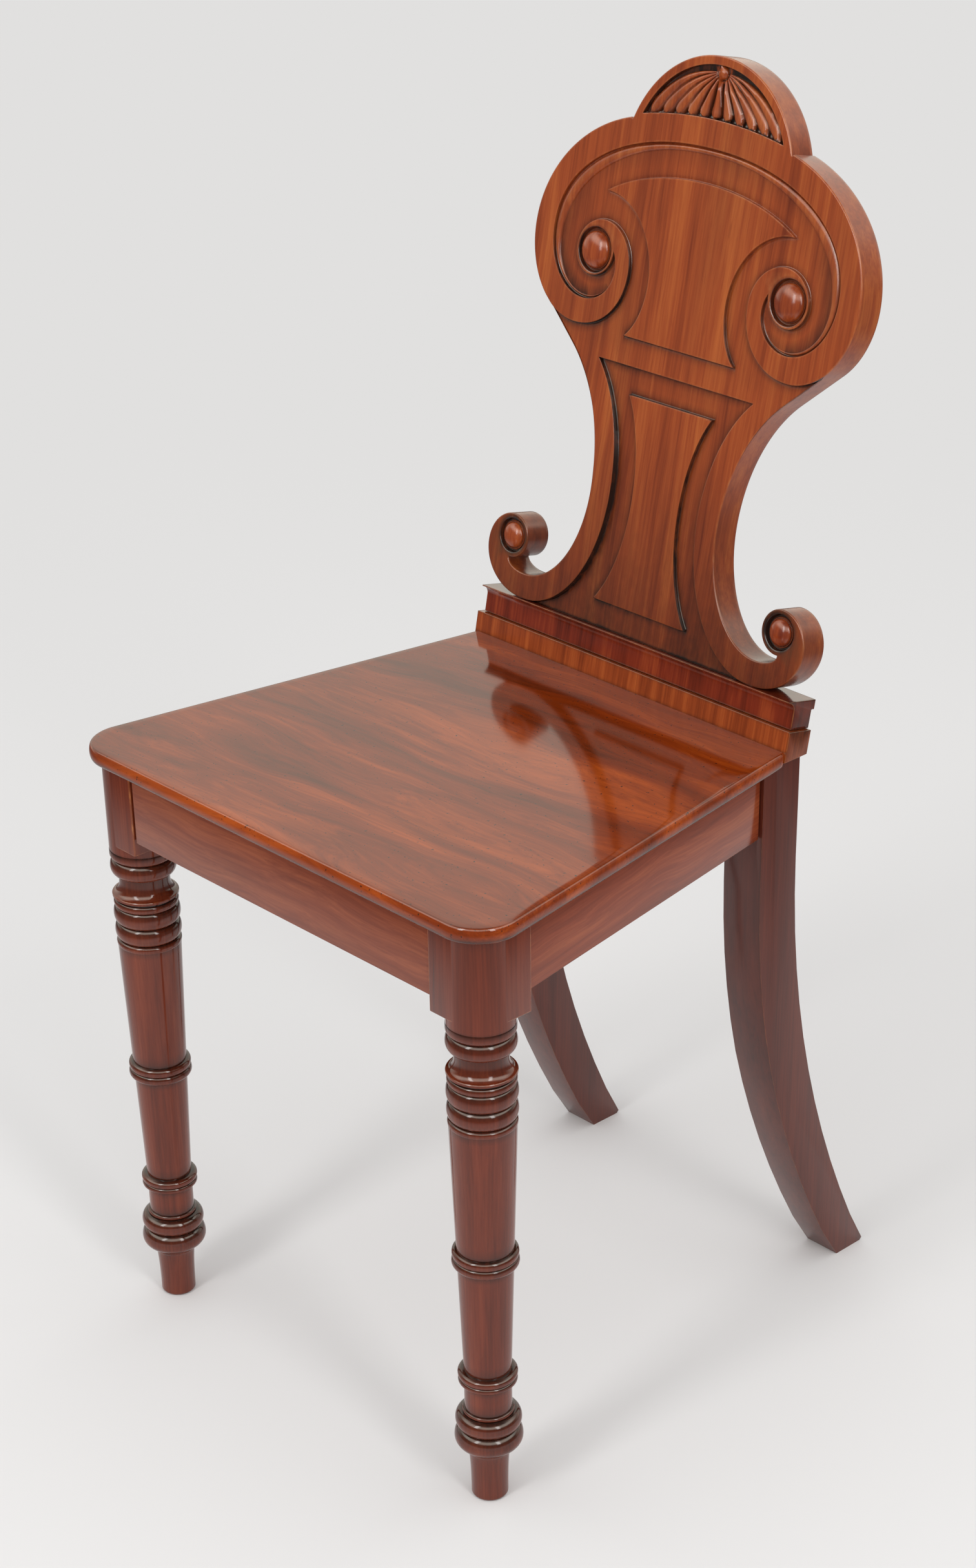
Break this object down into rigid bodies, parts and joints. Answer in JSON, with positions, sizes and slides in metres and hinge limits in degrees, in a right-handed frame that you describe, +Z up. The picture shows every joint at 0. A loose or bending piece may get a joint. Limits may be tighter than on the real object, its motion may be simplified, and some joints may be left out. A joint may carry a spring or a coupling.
{
  "type": "hall chair",
  "caption": "Mahogany hall chair with a plank seat, ring-turned front legs, swept rear legs and a raked scroll back carved in relief with a fan of reeds and volutes.",
  "frame": {"origin": "middle of the bounding box on the floor, under the seat", "axes": "+Z up, -Y towards the way a sitter faces, +X to the right of the picture, seen from the front"},
  "size_m": [0.4, 0.442, 0.8571],
  "materials": {
    "seat": "french polished mahogany, high gloss",
    "back": "french polished carved mahogany",
    "plinth": "french polished mahogany",
    "frame": "polished mahogany",
    "legs": "french polished turned mahogany",
    "deal": "bare sawn softwood",
    "iron": "dark filed iron"
  },
  "bodies": {
    "root": {"seat_board": "seat", "front_rail": "frame", "right_side_rail": "frame", "left_side_rail": "frame", "back_rail": "frame", "right_front_leg": "legs", "left_front_leg": "legs", "right_rear_leg": "legs", "left_rear_leg": "legs", "lower_plinth": "plinth", "upper_plinth": "plinth", "back_board": "back", "upper_left_boss": "back", "upper_right_boss": "back", "lower_left_boss": "back", "lower_right_boss": "back", "left_back_dowel": "deal", "right_back_dowel": "deal", "left_front_glue_block": "deal", "right_front_glue_block": "deal", "left_rear_glue_block": "deal", "right_rear_glue_block": "deal", "front_seat_screw_left": "iron", "front_seat_screw_right": "iron", "left_seat_screw_1": "iron", "left_seat_screw_2": "iron", "right_seat_screw_1": "iron", "right_seat_screw_2": "iron", "left_back_screw": "iron", "right_back_screw": "iron"}
  },
  "joints": []
}
